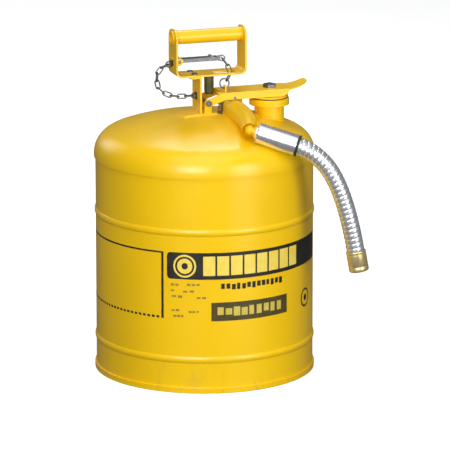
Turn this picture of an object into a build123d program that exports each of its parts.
from build123d import *
import math
import os

# A five gallon safety can: steel body, filling mouth with a sprung lid, pour
# valve, squeeze trigger in the handle and a flexible metal hose.
# Millimetres. The origin is the centre of the base on the floor, +Z is up,
# +X is the way the lever points, and the hose leaves on the -Y side.

os.makedirs("parts", exist_ok=True)

# ---- driving dimensions: the body ----
can_r = 149.0  # over the seams
shell_r = 147.0
sheet = 1.0
chime_height = 8.2
shell_foot = 1.6
shell_top = 300.0
bead_heights = (45.8, 219.5)
bead_half = 4.8
bead_rise = 1.6
skirt_foot = 293.0
knuckle_z = 297.0
knuckle_r = 34.0
crown_r = 372.0
dome_sheet = 1.5
crown_z = knuckle_z - math.sqrt((crown_r - knuckle_r) ** 2 - (can_r - knuckle_r) ** 2)

# ---- driving dimensions: the filling mouth ----
neck_x = 92.0
neck_bore_r = 17.0
neck_r = 20.0
neck_foot = 328.0
rim_r = 27.0
rim_foot = 357.0
rim_top = 366.0
arrester_r = 15.8
arrester_foot = 262.0
arrester_top = 346.0
screen = 0.6

# ---- driving dimensions: the pour valve ----
valve_x = 37.0
chamber_r = 16.0
chamber_bore_r = 12.5
chamber_foot = 328.0
seat_z = 333.0
seat_bore_r = 8.0
chamber_top = 366.0
rod_r = 3.0
running_fit = 0.05

# ---- driving dimensions: the handle ----
strip = 2.5
handle_half_width = 17.5
loop_left = -44.5
loop_right = 54.5
loop_foot = 403.5
loop_top = 467.0
grip_z = 456.0
grip_r = 9.3
stem_x = -10.0

# ---- driving dimensions: the lever and the trigger ----
pivot_x = 0.0
pivot_z = 367.0
pivot_pin_r = 2.5
lever_half_width = 19.5
lever_sheet = 2.0
lever_rear = 21.5
lever_top = 380.0
flange_foot = 370.0
lift_pin_z = 372.5
lift_pin_r = 2.0
spring_x = 18.5
spring_y = -12.0
lug_x = 26.0
lug_y = -9.0
lug_z = 384.5
trigger_x = -37.0
trigger_z = 424.0
trigger_pin_r = 2.0
trigger_half_width = 6.0
trigger_eye_x = 25.0
tail_x = -50.0
tail_z = 420.0

# ---- driving dimensions: the hose ----
hose_start = Vector(36.0, -118.7, 346.0)  # the collar's inner end, on its axis
hose_heading = -25.0  # degrees about Z from +X
collar_tilt = 17.0  # degrees below level
collar_length = 55.0
collar_r = 14.0
collar_socket = 9.5
nut_height = 2.2
nut_r = 9.0
hose_r = 12.0
ferrule_length = 28.0
ferrule_r = 13.5
ferrule_bore_r = 9.5

# The hose's route in its upright plane: distance along the heading from the
# collar's inner end, and height.
hose_route = [
    (43.5, 332.7),
    (61.2, 327.3),
    (77.2, 318.0),
    (90.7, 305.3),
    (101.2, 290.0),
    (109.7, 271.7),
    (117.4, 249.8),
    (124.3, 224.6),
    (129.3, 201.0),
    (131.4, 189.2),
]

# ---- driving dimensions: the chains ----
wire_r = 0.95
link_half_width = 2.9  # centre of the link to the centre of its side wire
ring_r = 6.4
ring_wire_r = 1.1


def dome_height(x, y):
    """Height of the dome's outer face over a point of its crown."""
    return crown_z + math.sqrt(crown_r**2 - x**2 - y**2)


def in_hose_plane(along, height):
    """Point of the hose's upright plane."""
    heading = math.radians(hose_heading)
    x = hose_start.X + along * math.cos(heading)
    y = hose_start.Y + along * math.sin(heading)
    return Vector(x, y, height)


def upright_plane(x, y):
    """Upright plane facing the front, for the outline of a piece turned about (x, y)."""
    return Plane(origin=(x, y, 0), x_dir=(1, 0, 0), z_dir=(0, -1, 0))


def outer_circles(piece, radius):
    """Round edges of at least this radius."""
    circles = piece.edges().filter_by(GeomType.CIRCLE)
    return circles.filter_by(lambda edge: edge.radius > radius - 0.01)


def save(piece, name):
    """Label a finished piece and write it."""
    piece.part.label = name
    export_step(piece.part, f"parts/{name}.step")


# ---------------------------------------------------------------- the body


def wall_line(radius):
    """The wall's line at one radius, with its rolled beads."""
    here = (radius, shell_foot)
    for height in bead_heights:
        low = (radius, height - bead_half)
        high = (radius, height + bead_half)
        Line(here, low)
        ThreePointArc(low, (radius + bead_rise, height), high)
        here = high
    Line(here, (radius, shell_top))


with BuildPart() as body_shell:
    with BuildSketch(Plane.XZ):
        with BuildLine():
            wall_line(shell_r)
            wall_line(shell_r - sheet)
            Line((shell_r, shell_foot), (shell_r - sheet, shell_foot))
            Line((shell_r, shell_top), (shell_r - sheet, shell_top))
        make_face()
    revolve(axis=Axis.Z)

with BuildPart() as bottom_pan:
    with BuildSketch(Plane.XZ):
        with BuildLine():
            Polyline(
                (0, chime_height - sheet),
                (shell_r - 3 * sheet, chime_height - sheet),
                (shell_r - 3 * sheet, 0),
                (can_r, 0),
                (can_r, chime_height),
                (shell_r, chime_height),
                (shell_r, shell_foot),
                (shell_r - sheet, shell_foot),
                (shell_r - sheet, chime_height),
                (0, chime_height),
                close=True,
            )
        make_face()
    revolve(axis=Axis.Z)
    fillet(outer_circles(bottom_pan, can_r), 0.9)


def dome_line(inset):
    """Line of the dome from the skirt to the crown, inset from its outer face."""
    centre = (can_r - knuckle_r, knuckle_z)
    turn = math.degrees(math.atan2(knuckle_z - crown_z, can_r - knuckle_r))
    Line((can_r - inset, skirt_foot), (can_r - inset, knuckle_z))
    CenterArc(centre, knuckle_r - inset, 0, turn)
    CenterArc((0, crown_z), crown_r - inset, turn, 90 - turn)


with BuildPart() as top_dome:
    with BuildSketch(Plane.XZ):
        with BuildLine():
            dome_line(0)
            dome_line(dome_sheet)
            Line((can_r, skirt_foot), (can_r - dome_sheet, skirt_foot))
            Line((0, crown_z + crown_r), (0, crown_z + crown_r - dome_sheet))
        make_face()
    revolve(axis=Axis.Z)
    with Locations((neck_x, 0, rim_foot)):
        Cylinder(neck_r + 0.2, 80, mode=Mode.SUBTRACT)
    with Locations((valve_x, 0, rim_foot)):
        Cylinder(chamber_r + 0.2, 80, mode=Mode.SUBTRACT)

# ------------------------------------------------------- the filling mouth

with BuildPart() as fill_neck:
    with BuildSketch(upright_plane(neck_x, 0)):
        with BuildLine():
            Polyline(
                (neck_bore_r, neck_foot),
                (neck_r, neck_foot),
                (neck_r, rim_foot),
                (rim_r, rim_foot),
                (rim_r, rim_top - 1),
                (rim_r - 1, rim_top),
                (neck_bore_r, rim_top),
                close=True,
            )
        make_face()
    revolve(axis=Axis((neck_x, 0, 0), (0, 0, 1)))


def arrester_cup(radius, foot, top, lip):
    """Screened cup with a lip: rows of narrow upright slots all round."""
    with BuildPart() as cup:
        with BuildSketch(Plane.XY.offset(foot)):
            Circle(radius)
        extrude(amount=top - foot)
        with BuildSketch(Plane.XY.offset(foot + screen)):
            Circle(radius - screen)
        extrude(amount=top - foot, mode=Mode.SUBTRACT)
        with BuildSketch(Plane.XY.offset(top - 2)):
            Circle(lip)
            Circle(radius - screen, mode=Mode.SUBTRACT)
        extrude(amount=2)
        row_height = (top - foot - 8) / 3
        for row in range(3):
            with BuildSketch(Plane.XY.offset(foot + 4 + row * row_height)):
                with PolarLocations(0, 4, angular_range=180):
                    Rectangle(2.4 * radius, 3)
            extrude(amount=row_height - 4, mode=Mode.SUBTRACT)
    return cup.part


with BuildPart() as fill_arrester:
    with Locations((neck_x, 0, 0)):
        add(arrester_cup(arrester_r, arrester_foot, arrester_top, neck_bore_r - 0.2))

with BuildPart() as arrester_ring:
    with BuildSketch(Plane.XY.offset(arrester_top + 0.2)):
        with Locations((neck_x, 0)):
            Circle(neck_bore_r - 0.1)
            Circle(neck_bore_r - 1.8, mode=Mode.SUBTRACT)
        with Locations((neck_x + neck_bore_r, 0)):
            Rectangle(8, 4, mode=Mode.SUBTRACT)
    extrude(amount=1.5)

# ---------------------------------------------------------- the pour valve

collar_way = in_hose_plane(math.cos(math.radians(collar_tilt)), 0) - in_hose_plane(0, 0)
collar_way = collar_way - Vector(0, 0, math.sin(math.radians(collar_tilt)))
collar_plane = Plane(origin=hose_start, z_dir=collar_way)
elbow_plane = collar_plane.offset(-11)
elbow_r = 9.5
nipple_r = 7.5
horn_stations = [
    (Vector(valve_x, -9, 355.0), (0, -1, 0), 14.0, 8.0),
    (Vector(36.5, -60, 354.0), (-0.07, -1, -0.09), 13.4, 8.0),
    (elbow_plane.origin, (-0.14, -1, -0.16), elbow_r, 6.5),
]

with BuildPart() as pour_manifold:
    # the horn, its elbow and the nipple that carries the collar
    for centre, way, outer, bore in horn_stations:
        with BuildSketch(Plane(origin=centre, z_dir=way)):
            Circle(outer)
    loft()
    with Locations(elbow_plane.origin):
        Sphere(elbow_r)
    with BuildSketch(elbow_plane):
        Circle(nipple_r)
    extrude(amount=18)
    # the foot that is welded to the dome
    with BuildSketch(Plane.XY.offset(dome_height(valve_x, 0) - 3)):
        with Locations((valve_x, 0)):
            Circle(chamber_r + 3)
    extrude(amount=5.5)
    with Locations((0, 0, crown_z)):
        Sphere(crown_r + 0.2, mode=Mode.SUBTRACT)
    # the valve chamber
    with BuildSketch(Plane.XY.offset(chamber_foot)):
        with Locations((valve_x, 0)):
            Circle(chamber_r)
    extrude(amount=chamber_top - chamber_foot)
    # room for the bushing's flange on the chamber
    with BuildSketch(Plane.XY.offset(chamber_top)):
        with Locations((valve_x, 0)):
            Circle(chamber_r + 0.3)
    extrude(amount=10, mode=Mode.SUBTRACT)
    # the way through: horn, nipple, chamber and valve seat
    for centre, way, outer, bore in horn_stations:
        with BuildSketch(Plane(origin=centre, z_dir=way)):
            Circle(bore)
    loft(mode=Mode.SUBTRACT)
    with Locations(elbow_plane.origin):
        Sphere(horn_stations[-1][3], mode=Mode.SUBTRACT)
    with BuildSketch(elbow_plane):
        Circle(5.5)
    extrude(amount=19, mode=Mode.SUBTRACT)
    with BuildSketch(Plane.XY.offset(seat_z)):
        with Locations((valve_x, 0)):
            Circle(chamber_bore_r)
    extrude(amount=chamber_top - seat_z, mode=Mode.SUBTRACT)
    with BuildSketch(Plane.XY.offset(chamber_foot)):
        with Locations((valve_x, 0)):
            Circle(seat_bore_r)
    extrude(amount=seat_z - chamber_foot, mode=Mode.SUBTRACT)

pour_cup_top = chamber_foot - 0.2

with BuildPart() as pour_arrester:
    with Locations((valve_x, 0, 0)):
        add(arrester_cup(11.0, 272.0, pour_cup_top, 15.0))

with BuildPart() as valve_bushing:
    with BuildSketch(Plane.XY.offset(chamber_top - 4.5)):
        with Locations((valve_x, 0)):
            Circle(chamber_bore_r - 0.05)
    extrude(amount=4.5)
    with BuildSketch(Plane.XY.offset(chamber_top)):
        with Locations((valve_x, 0)):
            Circle(chamber_r)
    extrude(amount=1.8)
    with BuildSketch(Plane.XY.offset(chamber_top - 4.5)):
        with Locations((valve_x, 0)):
            Circle(rod_r + running_fit)
    extrude(amount=6.3, mode=Mode.SUBTRACT)

gasket_foot = seat_z + 0.3
poppet_foot = gasket_foot + 1.2
poppet_top = poppet_foot + 4
head_foot = 368.2
head_top = 376.3

with BuildPart() as valve_gasket:
    with BuildSketch(Plane.XY.offset(gasket_foot)):
        with Locations((valve_x, 0)):
            Circle(10)
    extrude(amount=poppet_foot - gasket_foot)

with BuildPart() as valve_poppet:
    with BuildSketch(Plane.XY.offset(poppet_foot)):
        with Locations((valve_x, 0)):
            Circle(10.5)
    extrude(amount=poppet_top - poppet_foot)
    chamfer(valve_poppet.edges().group_by(Axis.Z)[-1], 0.8)

# The rod's head is slotted along X, because the lift pin swings back as it rises.
with BuildPart() as valve_rod:
    with BuildSketch(Plane.XY.offset(poppet_top)):
        with Locations((valve_x, 0)):
            Circle(rod_r)
    extrude(amount=head_foot - poppet_top)
    with BuildSketch(Plane.XZ):
        with BuildLine():
            Polyline(
                (25.5, head_foot),
                (42, head_foot),
                (42, head_top),
                (28.5, head_top),
                (25.5, head_top - 3),
                close=True,
            )
        make_face()
        with Locations((34.1, lift_pin_z)):
            SlotOverall(11.4, 5.4, mode=Mode.SUBTRACT)
    extrude(amount=5, both=True)


def coil(centre, foot, top, mean_r, wire, turns):
    """Round wire coil spring between two heights."""
    height = top - foot - 2 * wire
    with BuildPart() as spring:
        with BuildLine():
            turn_line = Helix(pitch=height / turns, height=height, radius=mean_r)
        with BuildSketch(Plane(origin=turn_line @ 0, z_dir=turn_line % 0)):
            Circle(wire)
        sweep(is_frenet=True)
    return spring.part.moved(Location((centre[0], centre[1], foot + wire)))


with BuildPart() as valve_spring:
    add(coil((valve_x, 0), poppet_top + 0.2, chamber_top - 4.7, 7.0, 0.6, 5))

# --------------------------------------------------------------- the handle

with BuildPart() as base_plate:
    with BuildSketch(Plane.XY.offset(dome_height(0, 0) - 10)):
        with Locations((-10, 0)):
            RectangleRounded(48, 2 * handle_half_width - 0.4, 4)
    extrude(amount=20)
    with Locations((0, 0, crown_z)):
        Sphere(crown_r + 2.4, mode=Mode.INTERSECT)
    with BuildSketch(Plane.XZ):
        with Locations((pivot_x, pivot_z)):
            Circle(5)
        with Locations((pivot_x, (pivot_z + dome_height(0, 0)) / 2)):
            Rectangle(10, pivot_z - dome_height(0, 0))
    extrude(amount=16.9, both=True)
    with BuildSketch(Plane.XZ):
        with Locations((pivot_x, dome_height(0, 0) + 2.4 + 10)):
            Rectangle(20, 20)
    extrude(amount=14.9, both=True, mode=Mode.SUBTRACT)
    with BuildSketch(Plane.XZ):
        with Locations((pivot_x, pivot_z)):
            Circle(pivot_pin_r + 0.02)
    extrude(amount=20, both=True, mode=Mode.SUBTRACT)
    with Locations((0, 0, crown_z)):
        Sphere(crown_r + 0.2, mode=Mode.SUBTRACT)

rivet_head_r = 4.0
flange_x = -17.0
rivet_ys = (-9.5, 9.5)

with BuildPart() as handle_stem:
    with BuildSketch(Plane.XZ):
        with BuildLine():
            Polyline(
                (stem_x - strip / 2, dome_height(stem_x, 0) + 2.5),
                (stem_x + strip / 2, dome_height(stem_x, 0) + 2.5),
                (stem_x + strip / 2, loop_foot - 0.1),
                (flange_x - 7, loop_foot - 0.1),
                (flange_x - 7, loop_foot - 0.1 - strip),
                (stem_x - strip / 2, loop_foot - 0.1 - strip),
                close=True,
            )
        make_face()
    extrude(amount=handle_half_width, both=True)
    fillet(handle_stem.edges().filter_by(Axis.Y).group_by(Axis.Z)[-1].sort_by(Axis.X)[-1], 2.2)
    for y in rivet_ys:
        with Locations((flange_x, y, loop_foot - strip)):
            Cylinder(2.02, 12, mode=Mode.SUBTRACT)

slot_left = 10.0
slot_right = 42.0
slot_near = -10.5
slot_far = 3.0

with BuildPart() as handle_loop:
    # the bent strip, seen from the front
    with BuildSketch(Plane.XZ):
        with Locations(((loop_left + loop_right) / 2, (loop_foot + loop_top) / 2 + 10)):
            RectangleRounded(loop_right - loop_left, loop_top - loop_foot + 20, 8)
            RectangleRounded(
                loop_right - loop_left - 2 * strip,
                loop_top - loop_foot + 20 - 2 * strip,
                8 - strip,
                mode=Mode.SUBTRACT,
            )
    extrude(amount=handle_half_width, both=True)
    # ears for the trigger's pin on the left upright
    with BuildSketch(Plane.XZ):
        with Locations((trigger_x, trigger_z)):
            Circle(5)
        with Locations(((loop_left + strip + trigger_x) / 2, trigger_z)):
            Rectangle(trigger_x - loop_left - strip + 0.4, 10)
        with Locations((trigger_x, trigger_z)):
            Circle(trigger_pin_r + 0.02, mode=Mode.SUBTRACT)
    extrude(amount=trigger_half_width + 2.6, both=True)
    with BuildSketch(Plane.YZ.offset(loop_left + strip)):
        with Locations((0, trigger_z)):
            Rectangle(2 * trigger_half_width + 1.2, 14)
    extrude(amount=16, mode=Mode.SUBTRACT)
    # rounded tops
    with BuildSketch(Plane.YZ):
        with Locations((0, (loop_foot + loop_top) / 2)):
            Rectangle(2 * handle_half_width, loop_top - loop_foot)
        fillet(vertices().group_by(Axis.Y)[-1], 12)
    extrude(amount=100, both=True, mode=Mode.INTERSECT)
    # hole for the grip, slot for the chain, slot for the trigger's tail
    with BuildSketch(Plane.YZ):
        with Locations((0, grip_z)):
            Circle(grip_r + 0.05)
    extrude(amount=100, both=True, mode=Mode.SUBTRACT)
    with BuildSketch(Plane.XY.offset(loop_foot - 1)):
        with Locations(((slot_left + slot_right) / 2, (slot_near + slot_far) / 2)):
            RectangleRounded(slot_right - slot_left, slot_far - slot_near, 4)
    extrude(amount=strip + 2, mode=Mode.SUBTRACT)
    with BuildSketch(Plane.YZ.offset(loop_left - 1)):
        with Locations((0, trigger_z - 1.5)):
            RectangleRounded(7, 16, 3)
    extrude(amount=strip + 2, mode=Mode.SUBTRACT)
    for y in rivet_ys:
        with Locations((flange_x, y, loop_foot)):
            Cylinder(2.02, 12, mode=Mode.SUBTRACT)

with BuildPart() as handle_grip:
    with BuildSketch(Plane.YZ.offset(loop_left - 2.5)):
        with Locations((0, grip_z)):
            Circle(grip_r)
            Circle(grip_r - 2, mode=Mode.SUBTRACT)
    extrude(amount=loop_right - loop_left + 2.5)

with BuildPart() as handle_rivets:
    for y in rivet_ys:
        with Locations((flange_x, y, loop_foot)):
            Cylinder(2, 2 * strip + 0.4)
        with Locations((flange_x, y, loop_foot + strip + 0.9)):
            Cylinder(rivet_head_r, 1.6)
        with Locations((flange_x, y, loop_foot - strip - 1.0)):
            Cylinder(rivet_head_r, 1.6)

stop_x = 7.0
stop_y = 1.5
stop_r = 6.5
stop_foot = 376.0

with BuildPart() as lever_stop:
    with BuildSketch(upright_plane(stop_x, stop_y)):
        with BuildLine():
            Polyline(
                (0, stop_foot),
                (stop_r - 1.5, stop_foot),
                (stop_r, stop_foot + 4),
                (stop_r, loop_foot - 0.1),
                (0, loop_foot - 0.1),
                close=True,
            )
        make_face()
    revolve(axis=Axis((stop_x, stop_y, 0), (0, 0, 1)))

# ---------------------------------------------------------------- the lever

with BuildPart() as lever:
    # top plate with its curled tip, cut to its outline in plan
    with BuildSketch(Plane.XZ):
        with BuildLine():
            Line((lever_rear, lever_top), (116, lever_top))
            ThreePointArc((116, lever_top), (131, lever_top + 2.4), (143, lever_top + 8))
            Line((143, lever_top + 8), (144, lever_top + 6.2))
            ThreePointArc((144, lever_top + 6.2), (131.4, lever_top + 0.4), (116, lever_top - lever_sheet))
            Line((116, lever_top - lever_sheet), (lever_rear, lever_top - lever_sheet))
            Line((lever_rear, lever_top - lever_sheet), (lever_rear, lever_top))
        make_face()
    extrude(amount=lever_half_width, both=True)
    with BuildSketch(Plane.XY.offset(flange_foot)):
        with BuildLine():
            for side in (-1, 1):
                Polyline(
                    (lever_rear, 0),
                    (lever_rear, side * lever_half_width),
                    (106, side * lever_half_width),
                    (134, side * 13),
                )
            ThreePointArc((134, 13), (144.5, 0), (134, -13))
        make_face()
    extrude(amount=30, mode=Mode.INTERSECT)
    # side flanges, which reach back to the pivot as arms
    with BuildSketch(Plane.XZ):
        with BuildLine():
            Polyline(
                (pivot_x, pivot_z + 5),
                (lever_rear, lever_top),
                (116, lever_top),
                (112, lever_top - 7),
                (106, flange_foot),
                (24, flange_foot),
                (pivot_x + 3, pivot_z - 4),
                close=True,
            )
        make_face()
        with Locations((pivot_x, pivot_z)):
            Circle(5)
    extrude(amount=lever_half_width, both=True)
    with BuildSketch(Plane.XZ):
        with Locations((50, lever_top - lever_sheet - 20)):
            Rectangle(160, 40)
    extrude(amount=lever_half_width - lever_sheet, both=True, mode=Mode.SUBTRACT)
    with BuildSketch(Plane.XZ):
        with Locations((pivot_x, pivot_z)):
            Rectangle(2 * lever_rear - 2, 40)
    extrude(amount=lever_half_width - lever_sheet, both=True, mode=Mode.SUBTRACT)
    # tab for the closing spring
    with BuildSketch(Plane.XY.offset(lever_top - lever_sheet)):
        with Locations((spring_x, spring_y)):
            Rectangle(9, 8)
    extrude(amount=lever_sheet)
    # holes for the pivot pin, the lift pin and the lid
    with BuildSketch(Plane.XZ):
        with Locations((pivot_x, pivot_z)):
            Circle(pivot_pin_r + running_fit)
        with Locations((valve_x, lift_pin_z)):
            Circle(lift_pin_r + 0.02)
    extrude(amount=2 * lever_half_width, both=True, mode=Mode.SUBTRACT)
    with Locations((neck_x, 0, lever_top)):
        Cylinder(6.1, 10, mode=Mode.SUBTRACT)

with BuildPart() as lever_pivot_pin:
    with BuildSketch(Plane.XZ):
        with Locations((pivot_x, pivot_z)):
            Circle(pivot_pin_r)
    extrude(amount=21.6, both=True)

with BuildPart() as pivot_clips:
    for side in (-1, 1):
        with BuildSketch(Plane.XZ.offset(side * 20.6)):
            with Locations((pivot_x, pivot_z)):
                Circle(4.3)
                Circle(pivot_pin_r, mode=Mode.SUBTRACT)
        extrude(amount=0.6, both=True)

with BuildPart() as lift_pin:
    with BuildSketch(Plane.XZ):
        with Locations((valve_x, lift_pin_z)):
            Circle(lift_pin_r)
    extrude(amount=lever_half_width + 0.6, both=True)

with BuildPart() as lever_lug:
    with BuildSketch(Plane.YZ.offset(lug_x)):
        with Locations((lug_y, lug_z)):
            Circle(4.5)
        with Locations((lug_y, (lug_z + lever_top) / 2)):
            Rectangle(9, lug_z - lever_top)
        with Locations((lug_y, lug_z)):
            Circle(3, mode=Mode.SUBTRACT)
    extrude(amount=1, both=True)

# ------------------------------------------------------------------ the lid

gasket_top = rim_top + 1.5
lid_top = gasket_top + 2.0
boss_top = lever_top + 1.6

with BuildPart() as lid_gasket:
    with BuildSketch(Plane.XY.offset(rim_top + 0.2)):
        with Locations((neck_x, 0)):
            Circle(25)
            Circle(16, mode=Mode.SUBTRACT)
    extrude(amount=gasket_top - rim_top - 0.2)

with BuildPart() as lid_cap:
    with BuildSketch(Plane.XY.offset(gasket_top)):
        with Locations((neck_x, 0)):
            Circle(25.5)
    extrude(amount=lid_top - gasket_top)
    with BuildSketch(Plane.XY.offset(lid_top)):
        with Locations((neck_x, 0)):
            Circle(6)
    extrude(amount=boss_top - lid_top)
    with BuildSketch(Plane.XY.offset(gasket_top)):
        with Locations((neck_x, 0)):
            Circle(2 + running_fit)
    extrude(amount=20, mode=Mode.SUBTRACT)
    with BuildSketch(Plane.XY.offset(lid_top + 1)):
        with Locations((neck_x, 0)):
            Circle(4.2)
    extrude(amount=20, mode=Mode.SUBTRACT)

with BuildPart() as lid_nut:
    with BuildSketch(Plane.XY.offset(lever_top)):
        with Locations((neck_x, 0)):
            RegularPolygon(9.2, 6)
    extrude(amount=4)
    with BuildSketch(Plane.XY.offset(lever_top)):
        with Locations((neck_x, 0)):
            Circle(6.1)
    extrude(amount=1.9, mode=Mode.SUBTRACT)
    with BuildSketch(Plane.XY.offset(lever_top)):
        with Locations((neck_x, 0)):
            Circle(2 + running_fit)
    extrude(amount=4, mode=Mode.SUBTRACT)

collar_z = 377.0

with BuildPart() as relief_plunger:
    with BuildSketch(upright_plane(neck_x, 0)):
        with BuildLine():
            Polyline(
                (0, 365.8),
                (5, 365.8),
                (5, 367.3),
                (2, 367.3),
                (2, collar_z),
                (3.8, collar_z),
                (3.8, collar_z + 1),
                (2, collar_z + 1),
                (2, 386),
                (0, 386),
                close=True,
            )
        make_face()
    revolve(axis=Axis((neck_x, 0, 0), (0, 0, 1)))

with BuildPart() as relief_spring:
    add(coil((neck_x, 0), lid_top + 1.1, collar_z - 0.1, 3.1, 0.4, 4))

# ------------------------------------------------------- the closing spring

anchor_top = dome_height(spring_x, spring_y) + 3

with BuildPart() as spring_anchor:
    with BuildSketch(Plane.XY.offset(dome_height(spring_x, spring_y) - 1)):
        with Locations((spring_x, spring_y)):
            Circle(3)
    extrude(amount=4)
    with Locations((0, 0, crown_z)):
        Sphere(crown_r + 0.1, mode=Mode.SUBTRACT)

with BuildPart() as closing_spring:
    add(coil((spring_x, spring_y), anchor_top + 0.1, lever_top - lever_sheet - 0.2, 3.2, 0.6, 8))

# -------------------------------------------------------------- the trigger

bar_foot = trigger_z - 2
bar_top = trigger_z + 3

with BuildPart() as trigger_bar:
    # squeeze bar and the hub on its pin
    with BuildSketch(Plane.XZ):
        with Locations((trigger_x, trigger_z)):
            Circle(4.5)
        with Locations(((trigger_x + 18) / 2, (bar_foot + bar_top) / 2)):
            Rectangle(18 - trigger_x, bar_top - bar_foot)
        with Locations((9, bar_top)):
            Circle(2.2)
    extrude(amount=trigger_half_width, both=True)
    # thin tongue with the chain's eye, and the tail with its own
    with BuildSketch(Plane.XZ):
        with BuildLine():
            Polyline((14, bar_foot), (24, trigger_z - 4.3), (25, trigger_z + 4.5), (14, bar_top), close=True)
        make_face()
        with Locations((trigger_eye_x, trigger_z)):
            Circle(4.5)
        with BuildLine():
            Polyline((-37, 428), (-37, 420), (tail_x, tail_z - 4.5), (tail_x, tail_z + 4.5), close=True)
        make_face()
        with Locations((tail_x, tail_z)):
            Circle(4.5)
        with Locations((trigger_eye_x, trigger_z), (tail_x, tail_z)):
            Circle(2.9, mode=Mode.SUBTRACT)
    extrude(amount=1.1, both=True)
    with BuildSketch(Plane.XZ):
        with Locations((trigger_x, trigger_z)):
            Circle(trigger_pin_r + running_fit)
    extrude(amount=20, both=True, mode=Mode.SUBTRACT)

with BuildPart() as trigger_pin:
    with BuildSketch(Plane.XZ):
        with Locations((trigger_x, trigger_z)):
            Circle(trigger_pin_r)
    extrude(amount=trigger_half_width + 3.4, both=True)

# --------------------------------------------------------------- the chains


def chain(joints, flat_first):
    """Round wire links from joint to joint, each turned a quarter from the last."""
    links = []
    for number, (start, stop) in enumerate(zip(joints, joints[1:])):
        start = Vector(*start)
        stop = Vector(*stop)
        along = (stop - start).normalized()
        half = (stop - start).length / 2 + wire_r + 0.3
        flat = (number % 2 == 0) == flat_first
        across = Vector(0, 1, 0) if flat else Vector(0, 1, 0).cross(along)
        bed = Plane(origin=(start + stop) * 0.5, x_dir=along, z_dir=along.cross(across))
        straight = half - link_half_width
        with BuildPart() as link:
            with BuildLine(bed):
                Line((-straight, link_half_width), (straight, link_half_width))
                ThreePointArc((straight, link_half_width), (half, 0), (straight, -link_half_width))
                Line((straight, -link_half_width), (-straight, -link_half_width))
                ThreePointArc((-straight, -link_half_width), (-half, 0), (-straight, link_half_width))
            with BuildSketch(Plane(origin=bed.from_local_coords((0, link_half_width, 0)), z_dir=along)):
                Circle(wire_r)
            sweep()
        links.append(link.part)
    return links


pull_joints = [(25.5, 0, 423.3), (32, -1.9, 414), (35.7, -3.9, 403.3), (29.6, -6.6, 394.4)]

with BuildPart() as pull_chain:
    add(chain(pull_joints, True))

ring_lean = math.atan2(-lug_y, trigger_z - lug_z)
ring_centre = Vector(lug_x, lug_y + ring_r * math.sin(ring_lean), lug_z + ring_r * math.cos(ring_lean))

ring_way = (0, -math.cos(ring_lean), math.sin(ring_lean))

with BuildPart(Plane(origin=ring_centre, x_dir=(1, 0, 0), z_dir=ring_way)) as pull_ring:
    Torus(ring_r, ring_wire_r)

keeper_joints = [
    (-50.9, 0, 419.7),
    (-60, 0, 416),
    (-66, 0, 408.5),
    (-66.8, 0, 398.5),
    (-64.5, 0, 388.8),
    (-57, 0, 381.5),
    (-47, 0, 377),
    (-37, 0, 375.2),
    (-26.7, 0, 375),
    (-16.6, 0, 375),
]

with BuildPart() as keeper_chain:
    add(chain(keeper_joints, True))

with BuildPart() as chain_eye:
    with Locations(Location((-15.4, 0, 375), (90, 0, 0))):
        Torus(3.0, 1.0)
    with Locations((stem_x - strip / 2 - 0.6, 0, 375)):
        Box(1.2, 8, 10)

# ----------------------------------------------------------------- the hose

with BuildPart() as swivel_nut:
    with BuildSketch(collar_plane.offset(-nut_height - 0.2)):
        RegularPolygon(nut_r, 6)
        Circle(nipple_r + 0.1, mode=Mode.SUBTRACT)
    extrude(amount=nut_height)

with BuildPart() as hose_collar:
    with BuildSketch(collar_plane):
        Circle(collar_r)
        Circle(nipple_r + 0.1, mode=Mode.SUBTRACT)
    extrude(amount=collar_length)
    chamfer(outer_circles(hose_collar, collar_r), 1.2)
    with BuildSketch(collar_plane.offset(8)):
        Circle(10.4)
    extrude(amount=collar_length, mode=Mode.SUBTRACT)
    with BuildSketch(collar_plane.offset(collar_length - collar_socket)):
        Circle(hose_r + 0.15)
    extrude(amount=collar_length, mode=Mode.SUBTRACT)

with BuildPart() as collar_ring:
    with BuildSketch(collar_plane.offset(collar_length + 0.1)):
        Circle(collar_r + 0.6)
        Circle(hose_r + 0.15, mode=Mode.SUBTRACT)
    extrude(amount=2.4)

route = [in_hose_plane(along, height) for along, height in hose_route]
runs = [(b - a).length for a, b in zip(route, route[1:])]
radii = []
for number in range(1, len(route) - 1):
    turn = (route[number] - route[number - 1]).get_angle(route[number + 1] - route[number])
    shorter = min(runs[number - 1], runs[number])
    radii.append(0.45 * shorter / math.tan(math.radians(turn / 2)))

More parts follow.
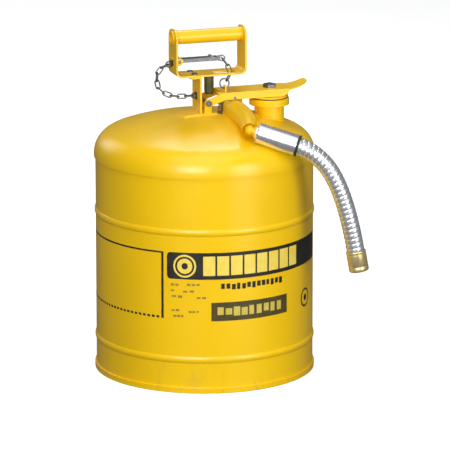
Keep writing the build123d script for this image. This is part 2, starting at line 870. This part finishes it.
with BuildPart() as flexible_hose:
    with BuildLine() as hose_line:
        FilletPolyline(*route, radius=radii)
    with BuildSketch(Plane(origin=route[0], z_dir=route[1] - route[0])):
        Circle(hose_r)
    sweep()

hose_end = Plane(origin=route[-1], z_dir=route[-1] - route[-2])

with BuildPart() as hose_end_ferrule:
    with BuildSketch(hose_end.offset(0.1)):
        Circle(ferrule_r)
        Circle(ferrule_bore_r, mode=Mode.SUBTRACT)
    extrude(amount=ferrule_length)

hose_length = hose_line.wire().length
print("hose radii", [round(radius, 1) for radius in radii])
print("hose length", round(hose_length, 1), "of runs", round(sum(runs), 1))
section = math.pi * hose_r**2
print("hose volume", round(flexible_hose.part.volume), "section x length", round(section * hose_length))
print("hose end", route[-1], hose_end.z_dir)

pieces = {
    "body_shell": body_shell,
    "bottom_pan": bottom_pan,
    "top_dome": top_dome,
    "pour_manifold": pour_manifold,
    "pour_arrester": pour_arrester,
    "fill_neck": fill_neck,
    "fill_arrester": fill_arrester,
    "arrester_ring": arrester_ring,
    "base_plate": base_plate,
    "handle_stem": handle_stem,
    "handle_loop": handle_loop,
    "handle_grip": handle_grip,
    "handle_rivets": handle_rivets,
    "lever_stop": lever_stop,
    "lever": lever,
    "lever_pivot_pin": lever_pivot_pin,
    "pivot_clips": pivot_clips,
    "lift_pin": lift_pin,
    "lever_lug": lever_lug,
    "lid_cap": lid_cap,
    "lid_gasket": lid_gasket,
    "lid_nut": lid_nut,
    "relief_plunger": relief_plunger,
    "relief_spring": relief_spring,
    "closing_spring": closing_spring,
    "spring_anchor": spring_anchor,
    "valve_rod": valve_rod,
    "valve_poppet": valve_poppet,
    "valve_gasket": valve_gasket,
    "valve_spring": valve_spring,
    "valve_bushing": valve_bushing,
    "trigger_bar": trigger_bar,
    "trigger_pin": trigger_pin,
    "pull_chain": pull_chain,
    "pull_ring": pull_ring,
    "keeper_chain": keeper_chain,
    "chain_eye": chain_eye,
    "swivel_nut": swivel_nut,
    "hose_collar": hose_collar,
    "collar_ring": collar_ring,
    "flexible_hose": flexible_hose,
    "hose_end_ferrule": hose_end_ferrule,
}
for name, piece in pieces.items():
    save(piece, name)
